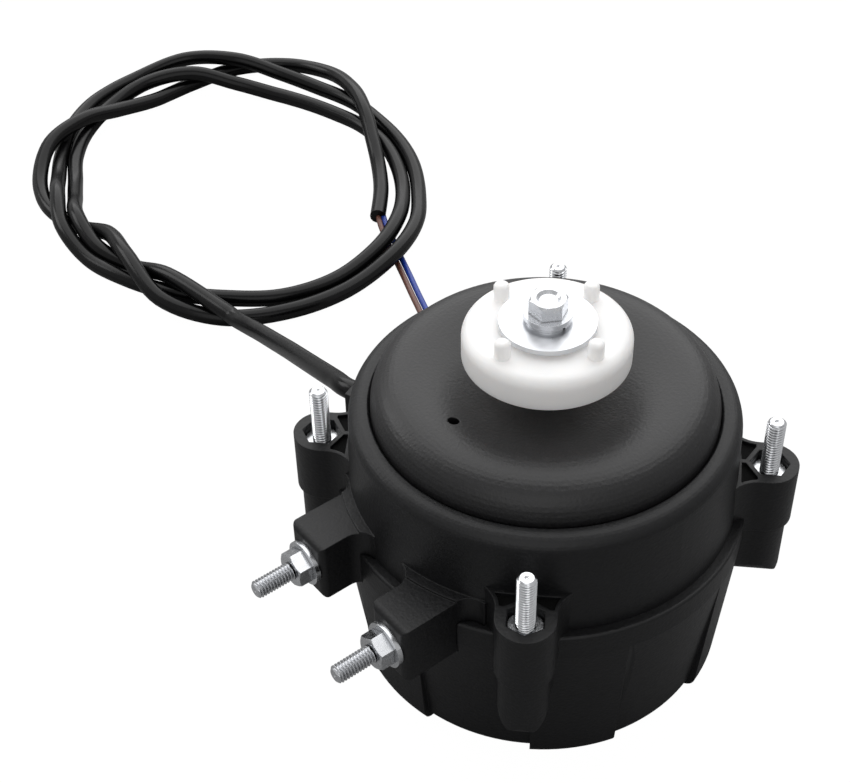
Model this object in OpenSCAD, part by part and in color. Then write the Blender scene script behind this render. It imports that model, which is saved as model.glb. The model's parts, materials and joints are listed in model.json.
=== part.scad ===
/* [Shells] */
// Outer radius of the front shell below its lip
body_r = 41; // [40.5:0.1:43]
// How much wider the front shell is at the joint than below its lip
body_draft = 0.8; // [0.4:0.1:1]
// How far the rear shell's rim stands out past the front shell
rim_out = 3; // [2.8:0.1:3.4]
// How much slimmer the rear shell is at its base than at its rim
rear_taper = 2.6; // [2:0.1:3.2]
// Height of the joint between the two shells
seam_z = 42.3; // [41:0.1:48]
// Height of the front shell above the joint
front_h = 24.2; // [23.5:0.1:28]
// Radius of the rounded lip
lip_round = 3.2; // [2:0.1:4]
// Wall thickness of both shells
wall = 2.5; // [2:0.1:2.8]
// Radius of the rounded base edge
base_round = 3.5; // [1:0.5:5]
// Thickness of the rear shell's floor
floor_t = 3; // [2:0.5:3.5]
// Depth of the shallow recesses round the base
recess_depth = 1.5; // [0.5:0.1:1.8]
// Angle that each raised pad between the recesses covers
pad_angle = 26; // [15:1:40]

/* [Dome cover] */
// Width of the front shell's lip round the dome
lip_w = 4.7; // [4.4:0.1:5.2]
// Distance from the dome's rim to its crest line
dome_shoulder = 8.3; // [6:0.1:10]
// Height of the dome's crest above the lip
dome_rise = 7.5; // [6.5:0.1:9]
// Depth of the dome's dished middle below its crest
dome_dish = 2.8; // [2:0.1:3.4]
// Thickness of the dome
dome_t = 2.4; // [1.8:0.1:3]
// Diameter of the drain hole
drain_d = 2.4; // [1.5:0.1:4]
// Distance of the drain hole inside the crest line
drain_in = 4.5; // [3:0.1:8]

/* [Corner bosses] */
// Distance of the corner studs' axes outside the front shell
stud_out = 6.8; // [6.4:0.1:8]
// Height of the corner bosses above the joint
boss_up = 9.7; // [8:0.1:12]
// Depth of the corner bosses below the joint
boss_down = 19.8; // [17:0.1:23]
// Radius of the corner bosses' noses
nose_r = 5.5; // [5.4:0.1:6.5]
// How much slimmer the lower half of a corner boss is
nose_step = 0.3; // [0:0.05:0.4]
// Radius of the rounded lower end of a corner boss, seen from the side
boss_round = 2.6; // [1.5:0.1:4]
// Radius of the hollow flare between a corner boss and the wall
flare_r = 7.3; // [6:0.1:8]
// Thickness of the walls round the pockets in a corner boss
pocket_wall = 1.2; // [0.8:0.1:1.4]
// Depth of the core-out pockets in a corner boss
pocket_depth = 7; // [3:0.5:9]

/* [Side bosses] */
// Distance of each side boss from the middle
side_x = 14; // [13.8:0.1:15]
// Half width of a side boss
side_half_w = 5.4; // [5.2:0.1:5.8]
// Depth of a side boss below the joint
side_down = 8.8; // [8:0.1:11]
// Height of a side boss above the joint
side_up = 6; // [4:0.1:8]
// How far a side boss stands out past the front shell
side_out = 11.3; // [9:0.1:14]
// Radius of the hollow flare at a side boss's root
side_flare_r = 4; // [2:0.5:4]
// Radius of a side boss's rounded outer edges
side_round = 1.4; // [0.8:0.1:2]
// Width of the raised strip along the wall on top of a side boss
strip_w = 1.9; // [1.2:0.1:3]
// Height of that strip
strip_h = 0.5; // [0.2:0.1:1]
// Depth of the side studs' axis below the joint
side_stud_down = 1.3; // [0.5:0.1:2.5]

/* [Fasteners] */
// Thread diameter of studs and screws
thread_d = 4; // [3.5:0.1:4]
// Depth of the threads
thread_depth = 0.46; // [0.4:0.02:0.5]
// Size of every hexagon across its flats
hex_af = 7; // [6.5:0.1:7]
// Height of a hexagon nut
nut_h = 3.2; // [2.4:0.1:3.6]
// Height of a bolt's hexagon head
bolt_head_h = 2.8; // [2:0.1:3.5]
// Length of the corner studs above their bosses
stud_free = 12.6; // [10:0.2:20]
// Length of the side studs past their bosses
side_free = 13.1; // [10:0.1:20]
// Diameter of the flange on the side nuts and on the hub screw
flange_d = 10; // [9:0.1:10.4]
// Thickness of the flange on the side nuts and on the hub screw
flange_t = 1.1; // [0.8:0.1:1.4]

/* [Hub] */
// Radius of the hub
hub_r = 17.3; // [16.5:0.1:18]
// Height of the hub's underside above the dome's crest
hub_gap = 4.8; // [3.5:0.1:7]
// Height of the hub
hub_h = 7.2; // [6.4:0.1:9]
// Radius of the hub's rounded top edge
hub_round = 2.4; // [1:0.1:3]
// Distance of the hub pins' axes inside the hub's edge
pin_in = 4.4; // [4.2:0.1:4.8]
// Diameter of a hub pin
pin_d = 3.3; // [3:0.1:3.5]
// Height of the hub pins' tips above the hub's top
pin_h = 3.8; // [3:0.1:5]
// Angle by which the pins stand off the sides
pin_turn = 5.5; // [0:0.5:45]
// Height of the seat under the large washer
seat_h = 0.7; // [0.3:0.1:1]
// Clearance between the large washer and the hub pins
washer_gap = 1.3; // [1.3:0.1:2]
// Thickness of the large washer
washer_t = 1.2; // [0.8:0.1:2]
// Diameter of the spring washer
spring_washer_d = 9; // [8:0.1:9.4]
// Thickness of the spring washer
spring_washer_t = 1; // [0.8:0.1:1.4]

/* [Motor inside] */
// Diameter of the shaft
shaft_d = 6; // [6:0.1:6.4]
// Radial clearance of the shaft in its bearings
bearing_gap = 0.04; // [0.02:0.01:0.08]
// Outer diameter of the sleeve bearings
bearing_d = 12; // [11:0.1:12.4]
// Length of the sleeve bearings
bearing_l = 10; // [8:0.5:11]
// Clearance between the stator stack and the rear shell's wall
stator_gap = 2.4; // [2:0.1:3]
// Number of stator teeth
teeth = 6; // [6:1:6]
// Width of a stator tooth
tooth_w = 8; // [6:0.5:9]
// Radial air gap between the rotor and the stator
air_gap = 0.6; // [0.4:0.1:1]
// How much deeper the stator is than the rotor, both along the radius
winding_extra = 5.5; // [5:0.5:8]
// Radial thickness of the ring magnet
magnet_t = 5; // [4:0.5:6]
// Height of the bobbins' ends, between the stack and the circuit board
end_h = 6.5; // [6:0.1:8]
// Clearance between the circuit board and the front shell's wall
board_gap = 4.5; // [4:0.1:6]
// Height of the circuit board's underside above the joint
board_up = 2.2; // [1.8:0.1:3]
// Thickness of the circuit board
board_t = 1.6; // [1:0.1:1.6]

/* [Supply cable] */
// Diameter of the supply cable
cable_d = 4.8; // [4.6:0.1:5]
// Diameter of each of the two cores
core_d = 1.7; // [1.4:0.1:2]
// Height of the cable's axis above the circuit board
cable_up = 2.1; // [2:0.1:2.6]
// How far the cable's lug stands out past the front shell
lug_out = 5.5; // [4.5:0.1:6]
// Direction in which the cable leaves, from +X
cable_angle = 202; // [200:1:204]

/* [Hidden] */
$fn = 96;
eps = 0.01;
// Clearances: running, assembly between pieces and round bolts
fit_gap = 0.05;
bolt_gap = 0.1;
joint_gap = 0.2;
hex_gap = 0.1;
stud_chamfer = 0.7;

// Radii of the shells' walls and of what stands out of them
front_top_r = body_r;
front_low_r = body_r + body_draft;
front_in_r = body_r - wall;
rear_rim_r = body_r + rim_out;
rear_base_r = rear_rim_r - rear_taper;
rear_in_r = rear_base_r - wall;
skirt_out_r = rear_rim_r - wall - joint_gap;
skirt_h = 4;
skirt_low_z = seam_z - skirt_h;
rib_t = 1.8;
rib_root = 0.4;
gasket_t = 1;
gasket_z = skirt_low_z - gasket_t;
rib_top_z = gasket_z - 5.3;
lip_z = seam_z + front_h;

// Corner bosses: angles at which they stand, their bolts and hexagons
corner_angles = [45, 135, 225, 315];
stud_r = body_r + stud_out;
boss_top_z = seam_z + boss_up;
boss_low_z = seam_z - boss_down;
hex_corner_r = hex_af / 2 / cos(30);
shank_r = (thread_d - thread_depth) / 2;
socket_r = (hex_af / 2 + hex_gap) / cos(30);
nut_inset = 1.2;
nut_floor_z = boss_top_z - nut_h - nut_inset;
head_inset = 2.2;
bolt_seat_z = boss_low_z + bolt_head_h + head_inset;
stud_tip_z = boss_top_z + stud_free;

// Side bosses: faces, axis and the seat of the bolts' heads inside the wall
side_low_z = seam_z - side_down;
side_top_z = seam_z + side_up;
side_end_y = body_r + side_out;
side_stud_z = seam_z - side_stud_down;
side_tip_y = side_end_y + side_free;
side_head_y = body_r - wall + 2.3;

// Dome cover and its seat in the front shell's lip
dome_r = body_r - lip_w;
dome_crest_r = dome_r - dome_shoulder;
dome_top_z = lip_z + dome_rise;
dome_dish_z = dome_top_z - dome_dish;
seat_out_r = dome_r + joint_gap;
seat_depth = 3.5;
seat_w = 2.5;
dome_seat_z = lip_z - seat_depth;
seat_in_r = dome_r - seat_w;
dome_rim_t = 3;

// Stack on the hub, from its underside to the head of the screw
hub_low_z = dome_top_z + hub_gap;
hub_top_z = hub_low_z + hub_h;
pin_circle_r = hub_r - pin_in;
washer_r = pin_circle_r - pin_d / 2 - washer_gap;
washer_z = hub_top_z + seat_h;
spring_z = washer_z + washer_t;
screw_z = spring_z + spring_washer_t;
screw_hex_h = 3.4;
screw_l = 13;
hub_skirt = 2.2;
hub_sleeve_r = 7.5;
hub_recess = 4;

// Shaft and bearings
shaft_r = shaft_d / 2;
shaft_hole_r = shaft_r + 1.4;
shaft_low_z = floor_t + 3.5;
shaft_top_z = hub_top_z;
bearing_r = bearing_d / 2;
rear_bearing_z = shaft_low_z + 1;
front_bearing_z = dome_dish_z - dome_t - bearing_l;
tube_wall = 2.6;
tube_r = bearing_r + tube_wall;
dish_r = tube_r + 3.4;
thrust_r = bearing_r - 0.6;
thrust_t = 0.6;
collar_r = shaft_r + 2.4;
clip_t = 0.8;
clip_depth = 0.7;
clip_z = rear_bearing_z + bearing_l + 0.9;

// Stator and rotor: the stack fills the height between the clip and the circuit board
board_z = seam_z + board_up;
magnet_over = 1;
magnet_z = clip_z + clip_t + 1.8;
stator_z = magnet_z + magnet_over;
stator_h = board_z - end_h - stator_z;
magnet_h = stator_h + 2 * magnet_over;
stator_r = rear_in_r - stator_gap;
magnet_r = (stator_r + shaft_r - winding_extra) / 2;
core_r = magnet_r - magnet_t;
stator_bore_r = magnet_r + air_gap;

// Winding space on each tooth
copper_t = 4.6;
spool_in_r = stator_bore_r + 3.2;
yoke_t = 5;
cheek_half_w = tooth_w / 2 + copper_t + 1.1;
spool_out_r = sqrt(pow(stator_r - yoke_t, 2) - pow(cheek_half_w, 2)) - fit_gap;
spool_t = 0.8;

// Circuit board and its pieces
board_r = front_in_r - board_gap;
board_hole_r = 12.5;
board_top_z = board_z + board_t;
board_screw_d = 3.2;
can_r = 5;
can_h = 12;
can_pitch = 12.6;
can_x = board_r - 12;
choke_x = board_r - 11;
choke_r = 5.2;
choke_h = 9;
// Chips: angle, distance of the outer end from the board's edge, length, width and height
chips = [[-24, 8, 8, 10, 2.4], [-62, 5, 12, 8, 1.8], [-105, 6, 9, 6, 3.2]];
sensor_t = 1.6;
sensor_w = 4;
sensor_h = 3.4;
block_l = 9;
block_w = 11;
block_h = 8;

// Cable exit: lug on the wall, rubber sleeve and terminal block
cable_z = board_top_z + cable_up;
lug_end_r = body_r + lug_out;
grommet_r = cable_d / 2 + 1;
collar_t = 1.2;
grommet_in_r = front_in_r - 1.6;
lug_half_w = grommet_r + 2;
block_r = board_r + 0.1;
exit_straight = 1.5;

// Route of the cable from the terminal block, out through the wall and down to its coil
cable_start = [[block_r, 0, cable_z], [lug_end_r + exit_straight, 0, cable_z]];
cable_route = [[-53, -17, 45], [-63.5, -14.5, 40], [-74.5, -12, 34], [-85, -9, 28],
    [-96, -6.5, 22.5], [-107, -4, 17], [-117.5, -1.5, 11.5], [-127, -0.5, 7.8], [-134, -1, 7.5]];
// Coil on the ground: an oval of loose turns, its middle, direction, half length and radii
coil_middle = [-195, 41];
coil_turn = 166;
coil_half_l = 10;
coil_in_r = 40;
coil_out_r = 67.5;
coil_h = 11.2;
// The two cores beyond the end of the jacket, side by side on the ground
core_route = [[-123, 54.7, 1], [-117, 52.4, 1], [-110, 49.6, 1], [-103, 46.9, 1], [-96, 43.8, 1],
    [-90, 40.5, 1]];

module ring(out_r, in_r, low_z, height) {
    translate([0, 0, low_z])
        linear_extrude(height)
            difference() {
                circle(out_r);
                circle(in_r);
            }
}

module disc(radius, low_z, height) {
    translate([0, 0, low_z])
        cylinder(r = radius, h = height);
}

// Hexagon with flats at the given distance, one corner on the local X axis
module hexagon(corner_radius) {
    circle(corner_radius, $fn = 6);
}

module at_corners() {
    for (angle = corner_angles)
        rotate(angle)
            children();
}

module at_sides() {
    for (side = [-1, 1])
        translate([side * side_x, 0, side_stud_z])
            rotate([90, 0, 0])
                children();
}

// Points of a quarter arc from one angle to another
function arc(center, radius, from, to, steps = 8) =
    [for (i = [0 : steps]) let (a = from + (to - from) * i / steps)
        center + radius * [cos(a), sin(a)]];

// Half section of the rear shell's outside, pulled in by inset at the base only
function rear_outline(inset) = concat(
    [[0, 0]],
    arc([rear_base_r - inset - base_round, base_round], base_round, -90, 0),
    [[rear_rim_r, seam_z - 6], [rear_rim_r, seam_z - 0.6]],
    arc([rear_rim_r - 0.6, seam_z - 0.6], 0.6, 0, 90, 4),
    [[0, seam_z]]);

// Plan of a corner boss: a round nose with a hollow flare on each side, in the boss's own frame
module boss_plan(nose, flare) {
    root_half = nose + flare * 0.42;
    shoulder = stud_r - 1.8;
    difference() {
        union() {
            translate([stud_r, 0])
                circle(nose);
            translate([front_in_r + 0.6, -root_half])
                square([stud_r - front_in_r - 0.6, 2 * root_half]);
        }
        for (side = [-1, 1]) {
            translate([shoulder, side * (nose + flare)])
                circle(flare);
            translate([shoulder, side * (nose + root_half) - root_half])
                square([3, 2 * root_half]);
        }
    }
}

// Plan of a side boss, grown by a clearance: a box with rounded corners and a flare on each side
module side_plan(grow) {
    corner = 1.5;
    half_w = side_half_w + grow;
    end_y = side_end_y + grow;
    for (side = [-1, 1])
        difference() {
            union() {
                translate([side * side_x - half_w, corner - end_y])
                    square([2 * half_w, end_y - corner - front_in_r + 2]);
                translate([side * side_x - half_w + corner, -end_y])
                    square([2 * (half_w - corner), 2 * corner]);
                for (edge = [-1, 1])
                    translate([side * side_x + edge * (half_w - corner), corner - end_y])
                        circle(corner);
                for (edge = [-1, 1])
                    side_root(side, edge);
            }
            for (edge = [-1, 1])
                translate(flare_center(side, edge))
                    circle(side_flare_r - grow);
            circle(front_in_r);
        }
}

// The two side bosses: their plan under a rounded side view, and a strip along the wall on top
module side_bosses() {
    intersection() {
        translate([0, 0, side_low_z])
            linear_extrude(side_top_z - side_low_z)
                side_plan(0);
        rotate([90, 0, -90])
            linear_extrude(4 * side_x, center = true)
                side_view();
    }
    translate([0, 0, side_top_z - eps])
        linear_extrude(strip_h + eps)
            intersection() {
                side_plan(0);
                difference() {
                    circle(front_low_r + strip_w);
                    circle(front_in_r + strip_w);
                }
            }
}

// Side view of a side boss: distance from the axis, then height
module side_view() {
    polygon(concat([[0, side_low_z]],
        arc([side_end_y - side_round, side_low_z + side_round], side_round, -90, 0),
        arc([side_end_y - side_round, side_top_z - side_round], side_round, 0, 90),
        [[0, side_top_z]]));
}

// Middle of the flare circle that touches both the boss's side and the wall
function flare_center(side, edge) =
    let (x = side * side_x + edge * (side_half_w + side_flare_r))
    [x, -sqrt(pow(front_low_r + side_flare_r, 2) - x * x)];

module side_root(side, edge) {
    c = flare_center(side, edge);
    x0 = side * side_x;
    translate([min(c[0], x0), c[1]])
        square([abs(c[0] - x0), -c[1] - front_in_r + 8]);
}

module rear_shell() {
    color("#26272a")
        difference() {
            union() {
                rotate_extrude()
                    polygon(rear_outline(recess_depth));
                for (i = [0 : 5])
                    rotate(30 + 60 * i - pad_angle / 2)
                        rotate_extrude(angle = pad_angle)
                            polygon(rear_outline(0));
                at_corners()
                    rear_boss();
            }
            // Bowl, rabbet for the gasket and the front shell's skirt
            disc(rear_in_r, floor_t, seam_z);
            disc(skirt_out_r + joint_gap, gasket_z, seam_z);
            at_corners()
                bolt_hole();
            // Notches that straddle the side bosses of the front shell
            translate([0, 0, side_low_z - joint_gap])
                linear_extrude(seam_z)
                    side_plan(joint_gap);
        }
    color("#26272a")
        rear_inside();
}

module rear_boss() {
    low_nose = nose_r - nose_step;
    out_r = stud_r + low_nose;
    gusset_w = 5;
    gusset_up = 4;
    gusset_half_w = low_nose + gusset_w;
    intersection() {
        // Side view: the lower end is rounded towards the outside
        rotate_extrude()
            polygon(concat([[0, boss_low_z]],
                arc([out_r - boss_round, boss_low_z + boss_round], boss_round, -90, 0),
                [[out_r + 1, boss_low_z + boss_round + 3], [out_r + 1, seam_z], [0, seam_z]]));
        translate([0, 0, boss_low_z])
            linear_extrude(seam_z - boss_low_z)
                difference() {
                    boss_plan(low_nose, flare_r);
                    circle(rear_in_r + 0.5);
                }
        // Elevation: a tongue with a round lower end, and flares that end in slanting gussets
        rotate([90, 0, 90])
            linear_extrude(out_r + 1)
                union() {
                    translate([0, boss_low_z + low_nose])
                        circle(low_nose);
                    translate([-low_nose, boss_low_z + low_nose])
                        square([2 * low_nose, seam_z - boss_low_z]);
                    polygon([[-low_nose, boss_low_z + gusset_up], [low_nose, boss_low_z + gusset_up],
                        [gusset_half_w, boss_low_z + gusset_up + gusset_w],
                        [gusset_half_w, seam_z + 1], [-gusset_half_w, seam_z + 1],
                        [-gusset_half_w, boss_low_z + gusset_up + gusset_w]]);
                }
    }
}

module bolt_hole() {
    translate([stud_r, 0, 0]) {
        cylinder(r = thread_d / 2 + bolt_gap, h = stud_tip_z);
        linear_extrude(bolt_seat_z)
            hexagon(socket_r);
    }
}

// Bearing tube, stator ribs and floor ribs inside the rear shell
module rear_inside() {
    ring(tube_r, bearing_r + fit_gap, floor_t, rear_bearing_z + bearing_l - floor_t);
    for (i = [0 : 5])
        rotate(60 * i) {
            rib(stator_r - yoke_t, rear_in_r + rib_root, floor_t, stator_z);
            rib(tube_r - rib_root, stator_r - yoke_t + 1, floor_t, floor_t + 4);
            rib(stator_r + fit_gap, rear_in_r + rib_root, stator_z - 1, rib_top_z);
        }
}

// Upright rib along the radius
module rib(from_r, to_r, low_z, high_z) {
    translate([from_r, -rib_t / 2, low_z])
        cube([to_r - from_r, rib_t, high_z - low_z]);
}

module front_shell() {
    color("#2a2b2e") {
        difference() {
            union() {
                rotate_extrude()
                    front_section();
                side_bosses();
                translate([0, 0, seam_z])
                    linear_extrude(boss_top_z - seam_z)
                        difference() {
                            at_corners()
                                boss_plan(nose_r, flare_r);
                            circle(front_in_r + 0.5);
                        }
                cable_lug();
            }
            at_corners() {
                bolt_hole();
                boss_pockets();
            }
            // Bolts of the side studs, put in from the inside
            at_sides() {
                translate([0, 0, front_in_r - 8])
                    cylinder(r = thread_d / 2 + bolt_gap, h = 40);
                translate([0, 0, front_in_r - 8])
                    linear_extrude(side_head_y - front_in_r + 8)
                        rotate(30)
                            hexagon(socket_r);
            }
            cable_hole();
        }
        front_ribs();
    }
}

// Half section of the front shell: skirt, wall, rounded lip and seat of the dome
module front_section() {
    polygon(concat(
        [[front_in_r, skirt_low_z], [skirt_out_r, skirt_low_z], [skirt_out_r, seam_z],
            [front_low_r, seam_z]],
        arc([front_top_r - lip_round, lip_z - lip_round], lip_round, 0, 90),
        [[seat_out_r + 0.4, lip_z], [seat_out_r, lip_z - 0.4], [seat_out_r, dome_seat_z],
            [seat_in_r, dome_seat_z], [seat_in_r, dome_seat_z - wall],
            [front_in_r, dome_seat_z - wall - 3]]));
}

// Hexagon pocket for the nut and the two core-outs beside the radial rib
module boss_pockets() {
    translate([stud_r, 0, nut_floor_z])
        linear_extrude(40)
            hexagon(socket_r);
    translate([0, 0, boss_top_z - pocket_depth])
        linear_extrude(40)
            difference() {
                boss_plan(nose_r - pocket_wall, flare_r + pocket_wall);
                circle(front_low_r + pocket_wall);
                translate([stud_r, 0])
                    hexagon(socket_r + pocket_wall / cos(30));
                translate([0, -0.45])
                    square([stud_r, 0.9]);
                translate([stud_r, 0])
                    square([2 * nose_r, 3 * nose_r], center = true);
            }
}

// Ribs that hold the stator and the circuit board down
module front_ribs() {
    for (i = [0 : 5]) {
        rotate(60 * i)
            rib(board_r - 2, front_in_r + rib_root, board_top_z, dome_seat_z - wall);
        rotate(60 * i + 40)
            rib(board_r + joint_gap, front_in_r + rib_root, stator_z + stator_h, board_top_z + 4);
    }
}

// Lug on the wall that the cable leaves through
module cable_lug() {
    rotate(cable_angle)
        difference() {
            translate([front_in_r + 0.6, -lug_half_w, seam_z])
                cube([lug_end_r - front_in_r - 0.6, 2 * lug_half_w, boss_top_z - seam_z]);
            // Core-outs beside the cable, open at the top
            for (side = [-1, 1])
                translate([front_low_r + 1, side * (lug_half_w - 2.1) - 1.2, cable_z])
                    cube([lug_end_r - front_low_r - 2.1, 2.4, boss_up]);
        }
}

module cable_hole() {
    rotate(cable_angle)
        translate([front_in_r - wall, 0, cable_z])
            rotate([0, 90, 0])
                cylinder(r = grommet_r + fit_gap, h = lug_end_r - front_in_r + 2 * wall);
}

module dome_cover() {
    color("#2c2d30")
        difference() {
            rotate_extrude()
                dome_section();
            rotate(-92)
                translate([dome_crest_r - drain_in, 0, dome_seat_z])
                    cylinder(d = drain_d, h = dome_top_z);
        }
}

// Height of the dome's outside at a radius: dished middle, crest and rounded shoulder
function dome_height(r) =
    r < dish_r ? dome_dish_z
    : r < dome_crest_r
        ? dome_dish_z + dome_dish * (1 - cos(180 * (r - dish_r) / (dome_crest_r - dish_r))) / 2
    : lip_z - 0.6 + (dome_rise + 0.6)
        * pow(1 - pow((r - dome_crest_r) / (dome_r - dome_crest_r), 2.3), 1 / 2.3);

// Half section of the dome: outside, rim, underside and the tube of the front bearing
module dome_section() {
    under_z = dome_dish_z - dome_t;
    bore_r = bearing_r + fit_gap;
    top = concat(
        [for (r = [dish_r + 1 : 1.5 : dome_crest_r]) [r, dome_height(r)]],
        [for (i = [1 : 12]) let (r = dome_crest_r + (dome_r - dome_crest_r) * sin(90 * i / 12))
            [r, dome_height(min(r, dome_r))]]);
    under = [for (r = [dome_crest_r : -1.5 : dish_r + 1]) [r, dome_height(r) - dome_t]];
    polygon(concat([[shaft_hole_r, dome_dish_z]], top,
        [[dome_r, dome_seat_z], [seat_in_r - 3, dome_seat_z],
            [seat_in_r - 3, dome_seat_z + dome_rim_t]],
        under,
        [[tube_r, under_z], [tube_r, front_bearing_z], [bore_r, front_bearing_z],
            [bore_r, under_z], [shaft_hole_r, under_z]]));
}

// Sealing ring, open where the side bosses stand
module shell_gasket() {
    opening = 2 * (side_x + side_half_w + side_flare_r + 1);
    color("#151515")
        difference() {
            ring(skirt_out_r - 0.1, rear_in_r + 0.3, gasket_z, gasket_t);
            translate([-opening / 2, -rear_rim_r, gasket_z - 1])
                cube([opening, rear_rim_r, gasket_t + 2]);
        }
}

module hub() {
    color("#f2f1ee")
        difference() {
            union() {
                rotate_extrude()
                    hub_section();
                for (i = [0 : 3])
                    rotate(pin_turn + 90 * i)
                        translate([pin_circle_r, 0, hub_top_z - 1])
                            hub_pin();
                for (i = [0 : 7])
                    rotate(22.5 + 45 * i)
                        translate([hub_sleeve_r - 0.1, -0.8, hub_low_z])
                            cube([hub_r - hub_skirt - hub_sleeve_r + 0.8, 1.6, hub_recess]);
            }
            disc(shaft_r + fit_gap, 0, 2 * hub_top_z);
        }
}

// Half section of the hub: seat, rounded edge, skirt and inner sleeve
module hub_section() {
    polygon(concat(
        [[0, washer_z], [washer_r - 1.3, washer_z], [washer_r - 0.7, hub_top_z]],
        arc([hub_r - hub_round, hub_top_z - hub_round], hub_round, 90, 0),
        [[hub_r, hub_low_z + 0.4], [hub_r - 0.4, hub_low_z], [hub_r - hub_skirt, hub_low_z],
            [hub_r - hub_skirt, hub_low_z + hub_recess], [hub_sleeve_r, hub_low_z + hub_recess],
            [hub_sleeve_r, dome_dish_z + 3], [0, dome_dish_z + 3]]));
}

// Round pin with a domed tip
module hub_pin() {
    radius = pin_d / 2;
    rotate_extrude($fn = 32)
        polygon(concat([[0, 0], [radius, 0]],
            arc([radius - 1, pin_h], 1, 0, 90, 5),
            [[0, pin_h + 1]]));
}

module fan_washer() {
    color("#c9ccd0")
        ring(washer_r, thread_d / 2 + bolt_gap, washer_z, washer_t);
}

// Spring washer with its slanting slit
module spring_washer() {
    color("#b9bcc0")
        difference() {
            ring(spring_washer_d / 2, thread_d / 2 + bolt_gap, spring_z, spring_washer_t);
            translate([0, 0.4, spring_z - 1])
                rotate([20, 0, 0])
                    cube([spring_washer_d, 0.6, 4]);
        }
}

// Screw with a flange, a hexagon head with a dished top and a plain shank
module hub_screw() {
    color("#d3d5d8") {
        difference() {
            union() {
                disc(flange_d / 2, screw_z, flange_t);
                intersection() {
                    translate([0, 0, screw_z + flange_t - eps])
                        linear_extrude(screw_hex_h + eps)
                            hexagon(hex_corner_r);
                    rotate_extrude()
                        polygon([[0, screw_z], [hex_corner_r + 1, screw_z],
                            [hex_corner_r + 1, screw_z + flange_t + screw_hex_h - 1.2],
                            [hex_corner_r - 0.55, screw_z + flange_t + screw_hex_h],
                            [0, screw_z + flange_t + screw_hex_h]]);
                }
            }
            translate([0, 0, screw_z + flange_t + screw_hex_h - 0.6])
                cylinder(r1 = 1.8, r2 = 2.5, h = 0.61);
        }
        disc(thread_d / 2, screw_z - screw_l, screw_l + flange_t / 2);
    }
}

// Shaft with a rounded lower end, a tapped upper end and a groove for the clip
module shaft() {
    end_r = shaft_r * 1.6;
    color("#a8acb1")
        difference() {
            rotate_extrude()
                polygon(concat([[0, shaft_low_z]],
                    arc([0, shaft_low_z + end_r], end_r, -90, -acos(shaft_r / end_r), 6),
                    [[shaft_r, clip_z], [shaft_r - clip_depth, clip_z],
                        [shaft_r - clip_depth, clip_z + clip_t], [shaft_r, clip_z + clip_t],
                        [shaft_r, shaft_top_z - 0.5], [shaft_r - 0.5, shaft_top_z],
                        [0, shaft_top_z]]));
            disc(thread_d / 2 + fit_gap, screw_z - screw_l - 1, screw_l + 2);
        }
}

module retaining_clip() {
    color("#8e9297")
        difference() {
            ring(collar_r - 0.2, shaft_r - clip_depth + fit_gap, clip_z + fit_gap, clip_t - 2 * fit_gap);
            translate([shaft_r - 1, -1.4, clip_z - 1])
                cube([collar_r, 2.8, clip_t + 2]);
        }
}

module thrust_washers() {
    color("#d8cfae") {
        ring(thrust_r, shaft_r + fit_gap, rear_bearing_z + bearing_l + 0.2, thrust_t);
        ring(thrust_r, shaft_r + fit_gap, front_bearing_z - thrust_t - 0.2, thrust_t);
    }
}

// Hub of the rotor with spokes' core-outs
module rotor_core() {
    color("#5d6167")
        difference() {
            ring(core_r - fit_gap, shaft_r + fit_gap, magnet_z, magnet_h);
            for (i = [0 : 5])
                rotate(60 * i)
                    translate([(core_r + shaft_r) / 2, 0, magnet_z - 1])
                        cylinder(r = 1.8, h = magnet_h + 2, $fn = 32);
        }
    color("#5d6167")
        ring(collar_r, shaft_r + fit_gap, magnet_z + magnet_h - eps,
            front_bearing_z - thrust_t - 0.3 - magnet_z - magnet_h);
}

module rotor_magnet() {
    color("#3a3a3d")
        ring(magnet_r, core_r, magnet_z, magnet_h);
}

module rear_bearing() {
    color("#b58a4a")
        ring(bearing_r, shaft_r + bearing_gap, rear_bearing_z, bearing_l);
}

module front_bearing() {
    color("#b58a4a")
        ring(bearing_r, shaft_r + bearing_gap, front_bearing_z, bearing_l);
}

// Pad that carries the shaft's rounded end
module thrust_pad() {
    color("#e4e0cf")
        disc(bearing_r, floor_t, shaft_low_z - floor_t - fit_gap);
}

// Stack of laminations: yoke, teeth and pole shoes
module stator_core() {
    shoe_t = 2.4;
    color("#6f7378")
        translate([0, 0, stator_z])
            linear_extrude(stator_h)
                difference() {
                    union() {
                        difference() {
                            circle(stator_r);
                            circle(stator_r - yoke_t);
                        }
                        for (i = [0 : teeth - 1])
                            rotate(30 + 360 / teeth * i) {
                                translate([stator_bore_r - 1, -tooth_w / 2])
                                    square([stator_r - yoke_t / 2 - stator_bore_r, tooth_w]);
                                intersection() {
                                    difference() {
                                        circle(stator_bore_r + shoe_t);
                                        circle(stator_bore_r);
                                    }
                                    polygon([[0, 0], [stator_r, -stator_r * tan(25)],
                                        [stator_r, stator_r * tan(25)]]);
                                }
                            }
                    }
                    circle(stator_bore_r);
                }
}

module at_teeth() {
    for (i = [0 : teeth - 1])
        rotate(30 + 360 / teeth * i)
            children();
}

// Rectangle standing across a tooth, centred on it, as a slab along the radius
module across(half_w, half_h, from_r, to_r) {
    translate([from_r, -half_w, stator_z + stator_h / 2 - half_h])
        cube([to_r - from_r, 2 * half_w, 2 * half_h]);
}

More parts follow.
